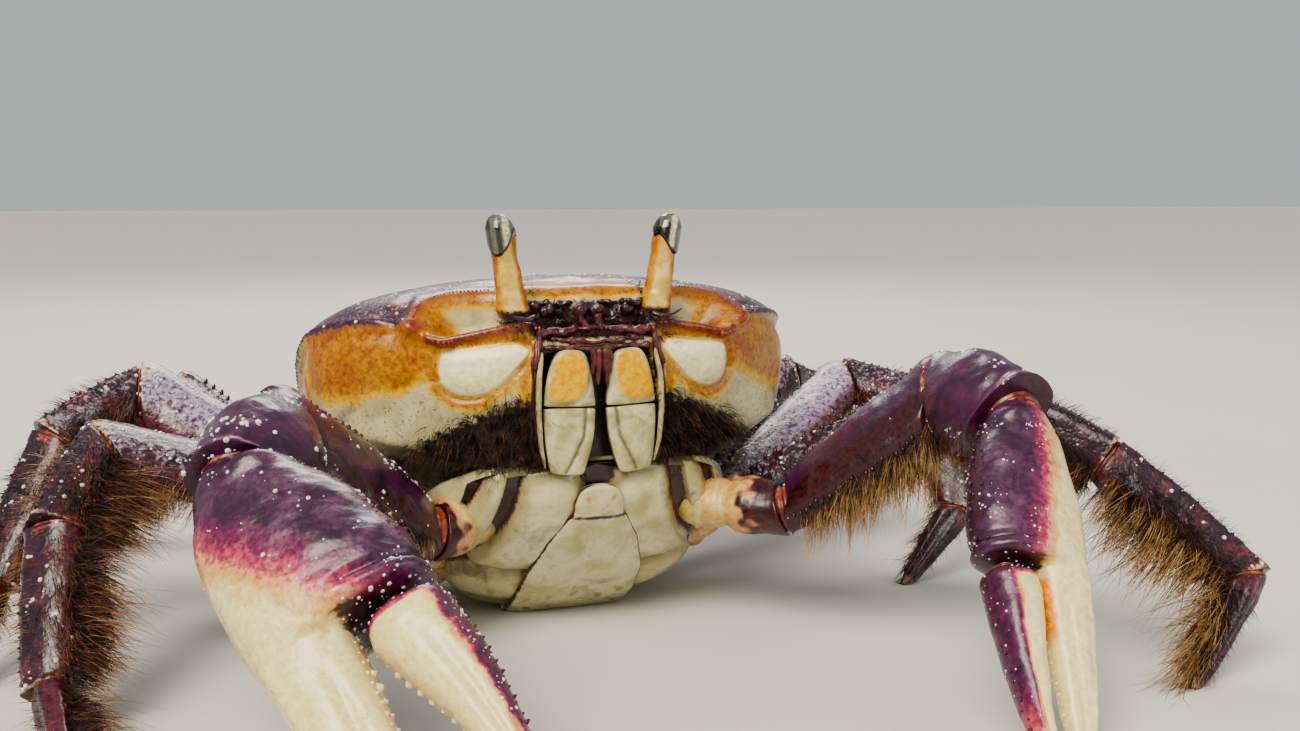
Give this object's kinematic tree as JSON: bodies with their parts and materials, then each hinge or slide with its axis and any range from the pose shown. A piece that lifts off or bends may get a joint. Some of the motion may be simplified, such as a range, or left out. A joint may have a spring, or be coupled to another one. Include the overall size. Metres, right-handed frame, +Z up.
{
  "type": "mangrove land crab",
  "caption": "Life-size still model of a male mangrove land crab in its threat pose: nose-up body, upright eyes, one claw larger than the other, bristly walking legs.",
  "frame": {"origin": "on the floor under the flat on which the rear of the folded abdomen rests, on the body's midline", "axes": "+Z up, +X to the crab's own left, -Y the way the crab faces"},
  "size_m": [0.1879, 0.1564, 0.0636],
  "materials": {
    "carapace_shell": "smooth glossy shell, orange and cream at the sides, purple over the back",
    "belly_shell": "smooth cream shell with a soft gloss",
    "mouth_plate": "cream mouthpart plates with an orange centre",
    "stalk_skin": "smooth orange and cream eyestalk",
    "cornea": "wet dark eye surface",
    "joint_shell": "cream and orange shell at the limb bases",
    "claw_shell": "dark purple shell fading through pink to cream, with fine warts",
    "finger_shell": "ivory claw finger with a purple upper edge",
    "leg_shell": "dark purple shell with long brown bristles"
  },
  "bodies": {
    "root": {"abdomen": "belly_shell", "carapace": "carapace_shell", "claw_left_carpus": "claw_shell", "claw_left_finger": "finger_shell", "claw_left_hip": "joint_shell", "claw_left_merus": "claw_shell", "claw_left_palm": "claw_shell", "claw_right_carpus": "claw_shell", "claw_right_finger": "finger_shell", "claw_right_hip": "joint_shell", "claw_right_merus": "claw_shell", "claw_right_palm": "claw_shell", "eye_left": "cornea", "eye_right": "cornea", "eyestalk_left": "stalk_skin", "eyestalk_right": "stalk_skin", "leg_left_1_carpus": "leg_shell", "leg_left_1_dactylus": "leg_shell", "leg_left_1_hip": "joint_shell", "leg_left_1_merus": "leg_shell", "leg_left_1_propodus": "leg_shell", "leg_left_2_carpus": "leg_shell", "leg_left_2_dactylus": "leg_shell", "leg_left_2_hip": "joint_shell", "leg_left_2_merus": "leg_shell", "leg_left_2_propodus": "leg_shell", "leg_left_3_carpus": "leg_shell", "leg_left_3_dactylus": "leg_shell", "leg_left_3_hip": "joint_shell", "leg_left_3_merus": "leg_shell", "leg_left_3_propodus": "leg_shell", "leg_left_4_carpus": "leg_shell", "leg_left_4_dactylus": "leg_shell", "leg_left_4_hip": "joint_shell", "leg_left_4_merus": "leg_shell", "leg_left_4_propodus": "leg_shell", "leg_right_1_carpus": "leg_shell", "leg_right_1_dactylus": "leg_shell", "leg_right_1_hip": "joint_shell", "leg_right_1_merus": "leg_shell", "leg_right_1_propodus": "leg_shell", "leg_right_2_carpus": "leg_shell", "leg_right_2_dactylus": "leg_shell", "leg_right_2_hip": "joint_shell", "leg_right_2_merus": "leg_shell", "leg_right_2_propodus": "leg_shell", "leg_right_3_carpus": "leg_shell", "leg_right_3_dactylus": "leg_shell", "leg_right_3_hip": "joint_shell", "leg_right_3_merus": "leg_shell", "leg_right_3_propodus": "leg_shell", "leg_right_4_carpus": "leg_shell", "leg_right_4_dactylus": "leg_shell", "leg_right_4_hip": "joint_shell", "leg_right_4_merus": "leg_shell", "leg_right_4_propodus": "leg_shell", "maxilliped_left": "mouth_plate", "maxilliped_right": "mouth_plate", "sternum": "belly_shell"}
  },
  "joints": []
}
